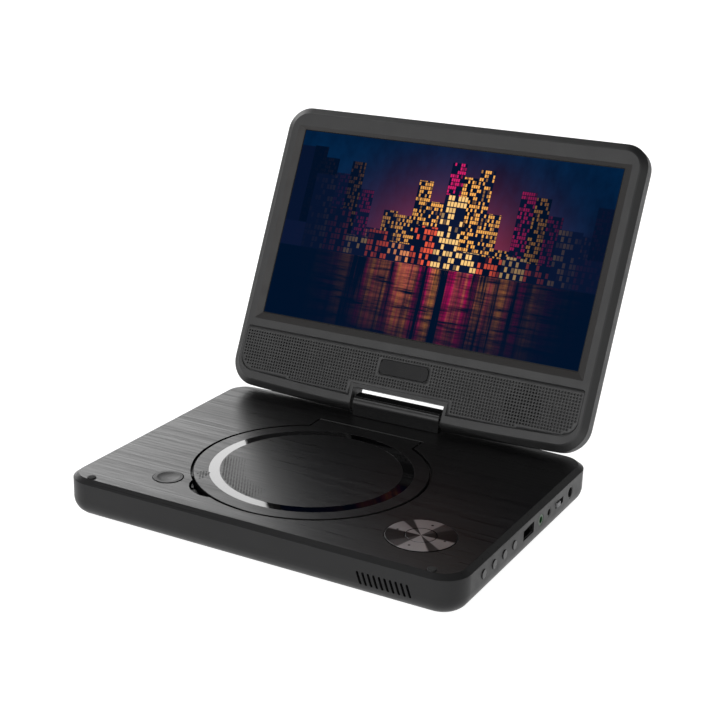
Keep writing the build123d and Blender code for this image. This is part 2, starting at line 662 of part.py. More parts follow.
def hinge_clearance():
    return rod_x(PIN_R + 0.5, -60, 60, 0, 0)


def lid_inner(z0, z1):
    """Room inside the housing: clear of the walls, the notch and the bull-nose."""
    room = lid_slab(2.0, z0, z1)
    below = block(-130, 130, -30, 0, -20, 20) - rod_x(NOSE_R - 1.8, -131, 131, 0, 0)
    notch = block(-NOTCH_HALF - 1.8, NOTCH_HALF + 1.8, -30, NOTCH_TOP + 1.8, -20, 20)
    return (room - below) - notch


def lid_rear_cover():
    outer = lid_slab(0, -LID_BACK, LID_SPLIT)
    outer = fillet(edges_at(outer, -LID_BACK), LID_BACK_R)
    shell = lid_trim(outer) - lid_inner(-LID_BACK + 1.8, LID_SPLIT + 1)
    shell -= hinge_clearance()
    for x, y in LID_SCREW_SPOTS:
        shell = shell + post(2.6, x, y, -LID_BACK + 1.5, -2.0)
        shell -= post(1.1, x, y, -20, 0)
        shell -= post(2.2, x, y, -20, -LID_BACK + 1.4)
    return shell


def lid_bezel():
    slab = lid_slab(0, LID_SPLIT + 0.05, LID_FRONT)
    face = slab.faces().sort_by(Axis.Z)[-1]
    bevelled = chamfer(edges_at(slab, LID_FRONT), RIM_WIDE, RIM_DEEP, reference=face)
    shell = lid_trim(bevelled) - lid_inner(LID_SPLIT - 1, LID_FRONT - 1.8)
    shell -= surround_cut()
    shell -= grille_plate(0.05, LID_FRONT - 0.8)
    for side in (-1, 1):
        shell -= post(SPEAKER_R - 1.5, side * SPEAKER_X, SPEAKER_Y, 0, 20)
    shell -= hinge_clearance()
    for x, y in LID_SCREW_SPOTS:
        shell = shell + (post(2.1, x, y, -1.9, LID_FRONT - 1.5) - post(0.9, x, y, -3, 3.5))
    return shell


def view_box():
    """Clear opening over the picture."""
    half = IMAGE_W / 2 + VIEW_MARGIN
    return -half, half, IMAGE_LOW - VIEW_MARGIN, IMAGE_LOW + IMAGE_H + VIEW_MARGIN


def surround_cut():
    """Opening in the bezel, with walls that slope down from its face to the picture's edge."""
    def outline(box, z):
        x0, x1, y0, y1 = box
        return Pos((x0 + x1) / 2, (y0 + y1) / 2, z) * Rectangle(x1 - x0, y1 - y0)

    foot_z = LID_FRONT - 1.7
    slope = loft([outline(view_box(), foot_z), outline(OPENING, LID_FRONT)])
    x0, x1, y0, y1 = view_box()
    return slope + block(x0, x1, y0, y1, 0, foot_z) + block(*OPENING, LID_FRONT, LID_FRONT + 5)


def grille_plate(grow, z0):
    """Grille area in the lower band: bowed bottom edge, cut out round the hinge notch."""
    half = GRILLE_HALF + grow
    top = GRILLE_TOP + grow
    low = GRILLE_LOW - grow
    face = make_face([
        ThreePointArc((-half, low), (0, low - GRILLE_BOW), (half, low)),
        Line((half, low), (half, top)),
        Line((half, top), (-half, top)),
        Line((-half, top), (-half, low)),
    ])
    face = fillet([v for v in face.vertices() if v.Y < 10], 9.0 + grow)
    face = fillet([v for v in face.vertices() if v.Y > top - 0.01 and abs(v.X) > half - 0.01], 1.5 + grow)
    plate = Pos(0, 0, z0) * extrude(face, LID_FRONT + (1 if grow else 0) - z0)
    hole = NOTCH_HALF + 1.9 - grow
    return plate - block(-hole, hole, -30, NOTCH_TOP + 2.4 - grow, -20, 20)


def speaker_grille():
    grille = grille_plate(0, LID_FRONT - 0.78)
    x0, x1, y0, y1 = BADGE
    return grille - rounded(x0 - SEAT, x1 + SEAT, y0 - SEAT, y1 + SEAT, LID_FRONT - 0.4, 20, 3.0)


def badge_plate():
    x0, x1, y0, y1 = BADGE
    return rounded(x0, x1, y0, y1, LID_FRONT - 0.39, LID_FRONT + 0.15, 3.0)


def display_window():
    x0, x1, y0, y1 = view_box()
    return rounded(x0 - 3, x1 + 3, y0 - 3, y1 + 2, LID_FRONT - 3.0, LID_FRONT - 1.82, 2.0)


def lcd_panel():
    return block(-102, 102, IMAGE_LOW - 3.5, IMAGE_LOW + IMAGE_H + 3.0, -0.8, LID_FRONT - 3.02)


def display_board():
    board = block(-50, 50, 60, 110, -3.6, -2.2)
    chips = [(-30, -14, 76, 92, -1.2), (10, 20, 80, 90, -1.4), (28, 44, 70, 76, -1.1)]
    return fused([board] + [block(a, b, c, d, -2.3, top) for a, b, c, d, top in chips])


def speakers():
    out = []
    for side in (-1, 1):
        x = side * SPEAKER_X
        rim = post(SPEAKER_R, x, SPEAKER_Y, 2.2, LID_FRONT - 1.82)
        rim -= post(SPEAKER_R - 2, x, SPEAKER_Y, 3.4, 10)
        dome = Pos(x, SPEAKER_Y, 3.4 - 9) * Sphere(10) & post(5, x, SPEAKER_Y, 3, 10)
        magnet = post(8, x, SPEAKER_Y, -3.6, 2.4)
        out.append(fused([rim, magnet, dome]))
    return out


def lid_screws():
    return [screw(x, y, -LID_BACK + 0.3, 1.5, 2.0, 0.88) for x, y in LID_SCREW_SPOTS]


def hinge_lugs():
    """Steel lugs inside the housing that turn on the hinge pins."""
    out = []
    for side in (-1, 1):
        x0, x1 = sorted((side * LUG_X[0], side * LUG_X[1]))
        eye = rod_x(4.0, x0, x1, 0, 0)
        arm = block(x0, x1, 0, 16, -3.9, -1.6)
        leaf = block(*sorted((side * LUG_X[0], side * 52)), 14, 26, -3.9, -2.9)
        out.append(fused([eye, arm, leaf]) - rod_x(PIN_R + RUN, x0 - 9, x1 + 9, 0, 0))
    return out


CASE_PIECES = {
    "bottom_case": bottom_case,
    "top_deck": top_deck,
    "disc_well": disc_well,
    "rubber_feet": rubber_feet,
    "lid_bumpers": lid_bumpers,
    "case_screws": case_screws,
    "battery_pack": battery_pack,
    "main_board": main_board,
    "board_posts": board_posts,
    "usb_socket": usb_socket,
    "dc_jack": dc_jack,
    "power_switch_body": power_switch_body,
    "power_switch": power_switch,
    "side_key_board": side_key_board,
    "nav_ring": nav_ring,
    "ok_button": ok_button,
    "nav_key_board": nav_key_board,
    "open_button": open_button,
    "door_latch": door_latch,
    "door_panel": door_panel,
    "door_ring": door_ring,
    "door_pins": door_pins,
    "loader_chassis": loader_chassis,
    "loader_dampers": loader_dampers,
    "loader_screws": loader_screws,
    "guide_rods": guide_rods,
    "spindle_motor": spindle_motor,
    "motor_mount": motor_mount,
    "spindle_shaft": spindle_shaft,
    "spindle_hub": spindle_hub,
    "pickup_body": pickup_body,
    "pickup_lens": pickup_lens,
    "lead_screw": lead_screw,
    "sled_motor": sled_motor,
    "swivel_bush": swivel_bush,
    "swivel_neck": swivel_neck,
    "swivel_clip": swivel_clip,
    "hinge_bracket": hinge_bracket,
    "hinge_pins": hinge_pins,
}
SCREEN_PIECES = {
    "lid_rear_cover": lid_rear_cover,
    "lid_bezel": lid_bezel,
    "speaker_grille": speaker_grille,
    "badge_plate": badge_plate,
    "display_window": display_window,
    "lcd_panel": lcd_panel,
    "display_board": display_board,
    "speakers": speakers,
    "lid_screws": lid_screws,
    "hinge_lugs": hinge_lugs,
}

for name, make in CASE_PIECES.items():
    save(name, make())
save("headphone_jack", round_jack(PHONES_Y, 3.0, 1.8, 13))
save("av_jack", round_jack(AV_Y, 2.5, 1.8, 13))
save("barrel_lower", barrel_half(-1))
save("barrel_upper", barrel_half(1))
for i, button_y in enumerate(SIDE_BUTTON_Y):
    save(f"side_button_{i + 1}", side_button(button_y))
for name, make in SCREEN_PIECES.items():
    shape = make()
    placed = [PLACE * s for s in shape] if isinstance(shape, list) else PLACE * shape
    save(name, placed)
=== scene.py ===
import functools
import json
import math

import bmesh
import bpy
from mathutils import Matrix, Vector


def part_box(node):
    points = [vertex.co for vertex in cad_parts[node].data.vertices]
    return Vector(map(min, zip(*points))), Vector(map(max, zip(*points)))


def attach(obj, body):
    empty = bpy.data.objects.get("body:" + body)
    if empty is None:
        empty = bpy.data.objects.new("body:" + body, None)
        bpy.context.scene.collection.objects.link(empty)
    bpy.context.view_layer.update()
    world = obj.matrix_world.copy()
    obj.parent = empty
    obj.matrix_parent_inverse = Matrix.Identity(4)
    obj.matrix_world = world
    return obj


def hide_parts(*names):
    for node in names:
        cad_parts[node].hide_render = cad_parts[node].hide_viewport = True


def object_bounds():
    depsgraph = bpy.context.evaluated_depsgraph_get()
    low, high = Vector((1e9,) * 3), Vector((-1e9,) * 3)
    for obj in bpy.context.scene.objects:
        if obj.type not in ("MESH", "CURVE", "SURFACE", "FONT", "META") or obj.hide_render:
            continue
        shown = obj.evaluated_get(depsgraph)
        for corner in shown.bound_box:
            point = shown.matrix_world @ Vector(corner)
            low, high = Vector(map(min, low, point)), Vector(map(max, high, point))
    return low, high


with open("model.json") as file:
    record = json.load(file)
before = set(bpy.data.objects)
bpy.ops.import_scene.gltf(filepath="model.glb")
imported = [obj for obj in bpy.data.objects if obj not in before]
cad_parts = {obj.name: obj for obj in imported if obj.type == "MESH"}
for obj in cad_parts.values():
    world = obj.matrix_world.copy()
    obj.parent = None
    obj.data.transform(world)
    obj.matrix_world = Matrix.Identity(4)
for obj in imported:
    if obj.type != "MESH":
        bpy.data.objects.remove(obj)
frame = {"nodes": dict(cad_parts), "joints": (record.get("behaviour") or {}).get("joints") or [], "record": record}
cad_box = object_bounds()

# Portable disc player: camera, light, materials and the detailed pieces round the packed
# model. Metres, in the model's frame: +X to the right, +Y to the back, +Z up.

MM = 0.001

# ---- camera ---------------------------------------------------------------------------
CAMERA_PLACE = Vector((353.7, -633.3, 331.3)) * MM
CAMERA_AZIMUTH = 30.24        # degrees round the object from straight in front
CAMERA_ELEVATION = 21.01
CAMERA_ROLL = 0.84
CAMERA_LENS = 74.94           # mm, on a 36 mm sensor
CAMERA_SHIFT = (0.0719, 0.0696)

# ---- studio light -----------------------------------------------------------------------
# Each patch: azimuth and elevation of its middle, strength, and the angles from its middle
# where it is still full and where it has faded out.
WALL = (-52.0, 26.0, 4.6, 17.0, 23.5)         # bright wall, behind on the left
FRONT = (178.0, 8.0, 2.2, 8.0, 50.0)          # broad glow straight in front
PANEL = (-134.0, 50.0, 3.2, 5.0, 11.0)        # small panel overhead, in front on the left
FRONT_FILL = 0.72             # brightness of everything else, in front and behind
BACK_FILL = 0.45
OVERHEAD_SHARE = 0.2          # how much of the fill's brightness the ceiling has

# ---- sizes that the detailed pieces share with the model --------------------------------
HOLE_PITCH = 1.76 * MM        # speaker grille's perforation
HOLE_RADIUS = 0.5 * MM
BADGE_CORNER = 1.7 * MM
GRILLE_MARGIN = 0.45 * MM     # plain strip round the perforation
PICTURE_WIDE = 197.0 * MM     # lit part of the display
PICTURE_HIGH = 110.8 * MM
PICTURE_LOW = 39.5 * MM       # tilt axis to its bottom edge
GLASS_BEVEL = 0.3 * MM
SHORE = 0.38                  # picture's waterline, as a share of its height
NOTCH_HALF = 30.5 * MM        # grille's notch round the hinge
NOTCH_TOP = 9.1 * MM
RING_BAND = 5.9 * MM          # width of the door's glossy ring
DOT_PITCH = 1.7 * MM          # half-tone dots printed on the door
DOT_BAND = 12.5 * MM          # how far they reach in from the ring
DOT_REACH = 59.5 * MM         # no dot lies further from the door's centre
DOT_HIGH = 0.03 * MM
DOT_SINK = 0.05 * MM          # how deep they start in the door
DOT_SIDES = 8
DOT_LEAST = 0.15 * MM         # smaller ones are left out
DOT_ARC = (-172.0, -96.0)     # degrees round the door that the fading dots cover
DOT_FADE = 8.0                # degrees over which they shrink at each end
PATCH_X = (-47.0 * MM, -41.5 * MM)   # small patch of dots on the rim, from the door's centre
PATCH_Y = (-42.0 * MM, -31.0 * MM)
PATCH_DOT = 0.5 * MM
PAINTED_SHEEN_WEDGES = (                    # painted highlight and shade: where each tone starts round the navigation pad, in half turns
    (0.00, 0.34), (0.03, 0.008), (0.27, 0.014), (0.30, 0.070), (0.41, 0.080), (0.43, 0.36),
    (0.70, 0.38), (0.72, 0.030), (0.80, 0.033), (0.82, 0.30), (1.00, 0.36),
)
MARK_RING = 12.5 * MM         # pad centre to its four small marks
MARK_RADIUS = 0.65 * MM
TURNING_PITCH = 0.35 * MM     # fine rings left on the pad by turning
DECK_BLACK = (0.0055, 0.0055, 0.0057)
EDGE_BAND = 4.6 * MM          # deck's outer strip, where its edge is bevelled and painted lighter as a highlight
# painted highlight: lighter grey for the deck's bevelled edge
EDGE_HIGHLIGHT_GREY = (0.014, 0.014, 0.0145)
DECK_CORNER = 14.0 * MM
NODES = frame["nodes"]


# ---- small helpers ----------------------------------------------------------------------
def joint_place(name):
    """Where a joint's axis lies."""
    joint = next(j for j in frame["joints"] if j["name"] == name)
    return Vector(joint["pos_m"])


def face_normal(node):
    """Unit normal of a node's largest flat face, on the side that faces the front."""
    faces = NODES[node].data.polygons
    normal = max(faces, key=lambda face: face.area).normal.normalized()
    return -normal if normal.y > 0 else normal


SCREEN_OUT = face_normal("display_window")
SCREEN_UP = Vector((0, SCREEN_OUT.z, -SCREEN_OUT.y))
TILT_AXIS = joint_place("screen_tilt")
# From the screen's own frame (X across, Y up it, Z out of its face) to the model's frame.
SCREEN = Matrix.Translation(TILT_AXIS) @ Matrix((
    (1, 0, 0, 0),
    (0, SCREEN_UP.y, SCREEN_OUT.y, 0),
    (0, SCREEN_UP.z, SCREEN_OUT.z, 0),
    (0, 0, 0, 1),
))


def screen_box(node):
    """Lowest and highest corner of a node in the screen's own frame."""
    back = SCREEN.inverted()
    points = [back @ vertex.co for vertex in NODES[node].data.vertices]
    low = Vector([min(p[i] for p in points) for i in range(3)])
    high = Vector([max(p[i] for p in points) for i in range(3)])
    return low, high


def add_object(name, mesh):
    """New object with a mesh, in the scene."""
    piece = bpy.data.objects.new(name, mesh)
    bpy.context.scene.collection.objects.link(piece)
    return piece


def piece_from(name, bm, body, material, place=None, smooth=35):
    """Turn a bmesh into a piece that rides on a body."""
    bmesh.ops.remove_doubles(bm, verts=bm.verts, dist=1e-6)
    bmesh.ops.recalc_face_normals(bm, faces=bm.faces)
    mesh = bpy.data.meshes.new(name)
    bm.to_mesh(mesh)
    bm.free()
    if place is not None:
        mesh.transform(place)
    mesh.materials.append(material)
    smooth_shade(mesh, smooth)
    piece = add_object(name, mesh)
    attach(piece, body)
    return piece


def smooth_shade(mesh, angle):
    """Smooth shading with edges sharper than angle kept crisp."""
    mesh.shade_smooth()
    mesh.set_sharp_from_angle(angle=math.radians(angle))


def arc_points(centre, radius, start, end, steps):
    """Points along an arc, angles in degrees."""
    out = []
    for i in range(steps + 1):
        a = math.radians(start + (end - start) * i / steps)
        out.append((centre[0] + radius * math.cos(a), centre[1] + radius * math.sin(a)))
    return out


# ---- materials --------------------------------------------------------------------------
class Look:
    """A node material on the Principled shader, built up in a few calls."""

    def __init__(self, name, colour, roughness, metallic=0.0, specular=0.5, coat=0.0, coat_roughness=0.05):
        self.material = bpy.data.materials.new(name)
        self.material.use_nodes = True
        self.tree = self.material.node_tree
        self.shader = self.tree.nodes["Principled BSDF"]
        self.set("Base Color", (*colour, 1))
        self.set("Roughness", roughness)
        self.set("Metallic", metallic)
        self.set("Specular IOR Level", specular)
        self.set("Coat Weight", coat)
        self.set("Coat Roughness", coat_roughness)
        self.colour = colour
        self.roughness = roughness
        self.height = None
        self.coordinates = self.tree.nodes.new("ShaderNodeTexCoord").outputs["Object"]

    def set(self, socket, value):
        self.shader.inputs[socket].default_value = value

    def node(self, kind, settings=None, **inputs):
        made = self.tree.nodes.new(kind)
        for key, value in (settings or {}).items():
            setattr(made, key, value)
        for key, value in inputs.items():
            socket = made.inputs[key.replace("_", " ")]
            if isinstance(value, bpy.types.NodeSocket):
                self.tree.links.new(value, socket)
            else:
                socket.default_value = value
        return made

    def link(self, output, socket):
        self.tree.links.new(output, self.shader.inputs[socket])

    def math(self, operation, a, b=0.0, c=0.0):
        made = self.tree.nodes.new("ShaderNodeMath")
        made.operation = operation
        for socket, value in zip(made.inputs, (a, b, c)):
            if isinstance(value, bpy.types.NodeSocket):
                self.tree.links.new(value, socket)
            else:
                socket.default_value = value
        return made.outputs[0]

    def map(self, scale):
        """Object coordinates, scaled."""
        return self.node("ShaderNodeMapping", Vector=self.coordinates, Scale=scale).outputs["Vector"]

    def noise(self, scale, detail=2.0, stretch=(1, 1, 1)):
        """Patchy 0 to 1 pattern."""
        made = self.node("ShaderNodeTexNoise", Vector=self.map(stretch), Scale=scale, Detail=detail)
        return made.outputs["Fac"]

    def along(self, direction, origin):
        """Distance along a direction from origin."""
        made = self.node("ShaderNodeVectorMath", {"operation": "SUBTRACT"})
        self.tree.links.new(self.coordinates, made.inputs[0])
        made.inputs[1].default_value = origin
        dot = self.node("ShaderNodeVectorMath", {"operation": "DOT_PRODUCT"})
        self.tree.links.new(made.outputs["Vector"], dot.inputs[0])
        dot.inputs[1].default_value = direction
        return dot.outputs["Value"]

    def length(self, x, y):
        """Distance from its two parts."""
        squares = [self.math("MULTIPLY", value, value) for value in (x, y)]
        return self.math("SQRT", self.math("ADD", *squares))

    def band(self, value, start, end, soft):
        """1 between start and end, with soft edges."""
        rise = self.spread(value, 0, 1, start - soft, start + soft)
        fall = self.spread(value, 1, 0, end - soft, end + soft)
        return self.math("MULTIPLY", rise, fall)

    def blend(self, fac, a, b):
        mix = self.node("ShaderNodeMix", {"data_type": "RGBA"})
        for socket, value in ((0, fac), (6, a), (7, b)):
            if isinstance(value, bpy.types.NodeSocket):
                self.tree.links.new(value, mix.inputs[socket])
            else:
                mix.inputs[socket].default_value = value if socket == 0 else (*value, 1)
        return mix.outputs[2]

    def round_edges(self, radius):
        """Shade sharp edges as if they had a small round."""
        self.height = self.node("ShaderNodeBevel", {"samples": 4}, Radius=radius).outputs["Normal"]
        self.link(self.height, "Normal")

    def spread(self, fac, low, high, from_low=0.3, from_high=0.7):
        made = self.node("ShaderNodeMapRange", Value=fac, From_Min=from_low, From_Max=from_high,
                         To_Min=low, To_Max=high)
        return made.outputs["Result"]

    def vary_colour(self, fac, amount):
        """Lighten and darken the colour by a share of itself."""
        mix = self.node("ShaderNodeMix", {"data_type": "RGBA"})
        self.tree.links.new(fac, mix.inputs[0])
        mix.inputs[6].default_value = (*[c * (1 - amount) for c in self.colour], 1)
        mix.inputs[7].default_value = (*[min(c * (1 + amount), 1) for c in self.colour], 1)
        self.link(mix.outputs[2], "Base Color")

    def vary_roughness(self, fac, amount):
        self.link(self.spread(fac, max(self.roughness - amount, 0.02), self.roughness + amount), "Roughness")

    def bump(self, height, distance, strength=1.0):
        """Add a height in metres times distance."""
        settings = {"Height": height, "Distance": distance, "Strength": strength}
        made = self.node("ShaderNodeBump", **settings)
        if self.height is not None:
            self.tree.links.new(self.height, made.inputs["Normal"])
        self.height = made.outputs["Normal"]
        self.link(self.height, "Normal")


def moulded(name, colour, roughness, grain=2600, depth=0.02, **more):
    """Moulded plastic: fine spark-eroded grain, faint mottling and handling marks."""
    look = Look(name, colour, roughness, **more)
    look.round_edges(0.3 * MM)
    look.bump(look.noise(grain, 3.0), depth * MM, 0.6)
    look.vary_colour(look.spread(look.noise(55, 4.0), 0, 1), 0.10)
    look.vary_roughness(look.noise(120, 5.0), 0.05)
    return look.material


def hairlines(look):
    """Fine and broad lines that run along X."""
    fine = look.noise(1.0, 2.0, stretch=(60, 4600, 4600))
    broad = look.noise(1.0, 3.0, stretch=(6, 700, 700))
    lines = look.math("ADD", look.math("MULTIPLY", fine, 0.45), look.math("MULTIPLY", broad, 0.55))
    return look.spread(lines, 0, 1, 0.35, 0.65)


def brushed_plastic(name, colour, roughness, film_low):
    """Satin plastic: a hairline film above film_low, black below it, and a bevelled edge painted greyer as a
    highlight.
    """
    look = Look(name, colour, roughness, specular=0.2)
    look.round_edges(0.25 * MM)
    lines = hairlines(look)
    top = look.spread(look.along((0, 0, 1), (0, 0, 0)), 0, 1, film_low - 0.03 * MM, film_low)
    deck_low, deck_high = (Vector(corner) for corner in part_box("top_deck"))
    middle = (deck_low + deck_high) / 2
    reach = (deck_high - deck_low) / 2
    out = []
    for i, direction in enumerate(((1, 0, 0), (0, 1, 0))):
        off = look.math("ABSOLUTE", look.along(direction, middle))
        out.append(look.math("MAXIMUM", look.math("SUBTRACT", off, reach[i] - DECK_CORNER), 0.0))
    inner = DECK_CORNER - EDGE_BAND
    rim = look.spread(look.length(*out), 0, 1, inner - 0.5 * MM, inner)
    film = look.math("MAXIMUM", top, rim)
    look.bump(look.math("MULTIPLY", lines, film), 0.024 * MM, 0.4)
    rough = look.spread(lines, roughness - 0.11, roughness + 0.11, 0, 1)
    look.link(look.node("ShaderNodeMix", A=0.24, B=rough, Factor=film).outputs[0], "Roughness")
    shade = look.blend(lines, [c * 0.55 for c in colour], [c * 1.8 for c in colour])
    finish = look.blend(film, [c * 0.8 for c in colour], shade)
    # painted highlight: the bevelled edge below the top is painted a lighter grey
    painted_edge_highlight = look.math("MULTIPLY", rim, look.math("SUBTRACT", 1.0, top))
    look.link(look.blend(painted_edge_highlight, finish, EDGE_HIGHLIGHT_GREY), "Base Color")
    return look.material


def metal(name, colour, roughness, grain=900, depth=0.004):
    """Plated or ground metal with faint cloudiness."""
    look = Look(name, colour, roughness, metallic=1.0)
    look.vary_colour(look.spread(look.noise(180, 4.0), 0, 1), 0.08)
    look.vary_roughness(look.noise(320, 4.0), 0.08)
    look.bump(look.noise(grain, 2.0), depth * MM, 0.4)
    return look.material


def fan_metal(name, roughness, centre):
    """Turned metal with its wedges of sheen painted into the colour round centre, with four small dark marks."""
    look = Look(name, (0.1, 0.1, 0.1), roughness, metallic=1.0)
    pad_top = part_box("nav_ring")[1][2]
    x = look.along((1, 0, 0), centre)
    y = look.along((0, 1, 0), centre)
    half_turns = look.math("DIVIDE", look.math("ARCTAN2", y, x), math.pi)
    turn = look.math("FRACT", look.math("ADD", half_turns, 1.0))
    # painted highlight and shade: the tone follows the angle round the pad
    ramp = look.node("ShaderNodeValToRGB", Fac=turn)
    stops = ramp.color_ramp.elements
    stops.remove(stops[1])
    for i, (place, tone) in enumerate(PAINTED_SHEEN_WEDGES):
        stop = stops[0] if i == 0 else stops.new(place)
        stop.position = place
        stop.color = (tone, tone, tone * 1.02, 1)
    wide = look.math("MAXIMUM", look.math("ABSOLUTE", x), look.math("ABSOLUTE", y))
    narrow = look.math("MINIMUM", look.math("ABSOLUTE", x), look.math("ABSOLUTE", y))
    past = look.math("SUBTRACT", wide, MARK_RING)
    off = look.length(past, narrow)
    mark = look.spread(off, 1, 0, MARK_RADIUS - 0.1 * MM, MARK_RADIUS + 0.1 * MM)
    top = look.spread(look.along((0, 0, 1), (0, 0, 0)), 0, 1, pad_top - 0.10 * MM, pad_top - 0.03 * MM)
    tone = look.blend(mark, ramp.outputs["Color"], (0.004, 0.004, 0.004))
    look.link(look.blend(top, (0.006, 0.006, 0.006), tone), "Base Color")
    rings = look.math("SINE", look.math("MULTIPLY", look.length(x, y), 2 * math.pi / TURNING_PITCH))
    look.bump(rings, 0.0015 * MM, 0.5)
    look.vary_roughness(look.noise(320, 4.0), 0.05)
    return look.material


def bezel():
    """Moulded bezel with painted shade: darker on every surface that falls back from its face, and a little darker
    and warmer on the walls that slope down to the picture.
    """
    look = Look("bezel_plastic", (0.016, 0.016, 0.0165), 0.5)
    look.round_edges(0.4 * MM)
    look.bump(look.noise(2600, 3.0), 0.012 * MM, 0.6)
    across = look.math("ABSOLUTE", look.along((1, 0, 0), TILT_AXIS))
    up = look.along(SCREEN_UP, TILT_AXIS)
    # painted shade on the walls that slope down to the picture
    shaded_slopes = look.math("MULTIPLY", look.spread(across, 1, 0, 102.8 * MM, 103.1 * MM),
                       look.band(up, 35.0 * MM, 152.6 * MM, 0.2 * MM))
    mottle = look.spread(look.noise(55, 4.0), 0, 1)
    face_level = screen_box("lid_bezel")[1].z
    out = look.along(SCREEN_OUT, TILT_AXIS)
    # painted shade: surfaces set back from the face, its rim and recesses, are darkened
    rim = look.spread(out, 1, 0, face_level - 0.7 * MM, face_level - 0.25 * MM)
    face = look.blend(mottle, (0.0145, 0.0145, 0.015), (0.0175, 0.0175, 0.018))
    face = look.blend(rim, face, (0.0045, 0.0045, 0.0047))
    look.link(look.blend(shaded_slopes, face, (0.0125, 0.011, 0.0105)), "Base Color")
    look.vary_roughness(look.noise(120, 5.0), 0.05)
    return look.material


def circuit_board():
    """Green solder mask with fine tracks."""
    look = Look("circuit_board", (0.012, 0.10, 0.04), 0.35, coat=0.4)
    cells = look.node("ShaderNodeTexVoronoi", {"distance": "MANHATTAN"}, Vector=look.map((1, 1, 1)),
                      Scale=420.0)
    look.vary_colour(look.spread(cells.outputs["Distance"], 0, 1, 0.1, 0.5), 0.45)
    look.bump(cells.outputs["Distance"], 0.02 * MM, 0.4)
    return look.material


def speaker_paper():
    """Pressed fibre cone."""
    look = Look("speaker_paper", (0.028, 0.027, 0.026), 0.9)
    look.bump(look.noise(1800, 5.0), 0.05 * MM, 0.8)
    look.vary_colour(look.spread(look.noise(900, 3.0), 0, 1), 0.3)
    return look.material


def lens_glass():
    """Blue-tinted pickup lens."""
    look = Look("lens_glass", (0.35, 0.5, 0.75), 0.03, coat=1.0)
    look.set("Transmission Weight", 0.7)
    look.vary_colour(look.spread(look.noise(900, 2.0), 0, 1), 0.15)
    return look.material


def picture():
    """Lit display: a made-up skyline at night over dark water, in plain blocks and streaks."""
    look = Look("picture", (0.0, 0.0, 0.0), 0.4, specular=0.0)
    across = look.math("DIVIDE", look.along((1, 0, 0), TILT_AXIS), PICTURE_WIDE / 2)
    above = look.math("SUBTRACT", look.along(SCREEN_UP, TILT_AXIS), PICTURE_LOW)
    up = look.math("DIVIDE", above, PICTURE_HIGH)

    def multiply(*values):
        return functools.reduce(lambda a, b: look.math("MULTIPLY", a, b), values)

    def bell(value, middle, width):
        """1 at middle, falling off smoothly."""
        off = look.math("DIVIDE", look.math("SUBTRACT", value, middle), width)
        return look.math("EXPONENT", look.math("MULTIPLY", look.math("MULTIPLY", off, off), -1.0))

    def grain(x_scale, y_scale, seed, low_end, high_end):
        """Patchy 0 to 1 pattern, stretched by its two scales."""
        vector = look.node("ShaderNodeCombineXYZ", X=look.math("MULTIPLY", across, x_scale),
                           Y=look.math("MULTIPLY", up, y_scale), Z=seed)
        noise = look.node("ShaderNodeTexNoise", Vector=vector.outputs["Vector"], Scale=1.0, Detail=5.0,
                          Roughness=0.65)
        return look.spread(noise.outputs["Fac"], 0, 1, low_end, high_end)

    def cells(columns, rows, seed):
        """One random value for each box of a grid."""
        column = look.math("FLOOR", look.math("MULTIPLY", across, columns))
        row = look.math("FLOOR", look.math("MULTIPLY", up, rows))
        vector = look.node("ShaderNodeCombineXYZ", X=column, Y=row, Z=seed).outputs["Vector"]
        noise = look.node("ShaderNodeTexWhiteNoise", {"noise_dimensions": "3D"}, Vector=vector)
        return noise.outputs["Value"]

    # sky, with a warm glow low in the middle
    scene = look.blend(grain(3, 2, 3.1, 0.35, 0.7), (0.0004, 0.0075, 0.028), (0.001, 0.021, 0.07))
    glow = multiply(bell(across, 0.08, 0.42), bell(up, SHORE, 0.3))
    scene = look.blend(look.math("MULTIPLY", glow, 0.8), scene, (0.42, 0.045, 0.09))

    # rows of towers, the far one first, with lit windows
    for columns, least, most, seed, warm, pink in (
            (11, 0.50, 0.93, 2.0, (1.0, 0.46, 0.10), (0.65, 0.015, 0.14)),
            (7, 0.42, 0.80, 5.0, (1.0, 0.62, 0.22), (0.80, 0.10, 0.05))):
        roof = look.spread(cells(columns, 0.0, seed), least, most, 0, 1)
        tower = look.spread(look.math("SUBTRACT", roof, up), 0, 1, -0.002, 0.002)
        shade = look.blend(cells(columns, 0.0, seed + 1), (0.0004, 0.005, 0.018), (0.004, 0.009, 0.035))
        scene = look.blend(tower, scene, shade)
        wide, high = columns * 7.0, columns * 4.5
        lit = look.spread(cells(wide, high, seed + 2), 0, 1, 0.42, 0.60)
        frame_x = look.math("PINGPONG", look.math("MULTIPLY", across, wide), 0.5)
        frame_y = look.math("PINGPONG", look.math("MULTIPLY", up, high), 0.5)
        panes = look.spread(look.math("MINIMUM", frame_x, frame_y), 0, 1, 0.08, 0.14)
        colour = look.blend(look.spread(cells(columns, 0.0, seed + 3), 0, 1, 0.45, 0.55), warm, pink)
        middle = look.math("MINIMUM", look.math("MULTIPLY", bell(across, 0.08, 0.36), 1.2), 1.0)
        scene = look.blend(multiply(tower, lit, panes, middle), scene, colour)

    # dark water, with the lights drawn down into rippled streaks
    water = look.spread(up, 1, 0, SHORE - 0.004, SHORE)
    scene = look.blend(water, scene, (0.0004, 0.006, 0.022))
    ripple = grain(4, 46, 8.2, 0.36, 0.62)
    streaks = look.blend(grain(10, 0.4, 1.3, 0.42, 0.6), (0.60, 0.004, 0.12), (1.0, 0.36, 0.07))
    gaps = grain(16, 0.5, 9.4, 0.40, 0.56)
    fade = look.spread(up, 0.15, 1, 0.02, SHORE)
    scene = look.blend(multiply(water, bell(across, 0.08, 0.34), ripple, gaps, fade), scene, streaks)
    look.tree.links.new(scene, look.shader.inputs["Emission Color"])
    look.set("Emission Strength", 1.0)
    return look.material


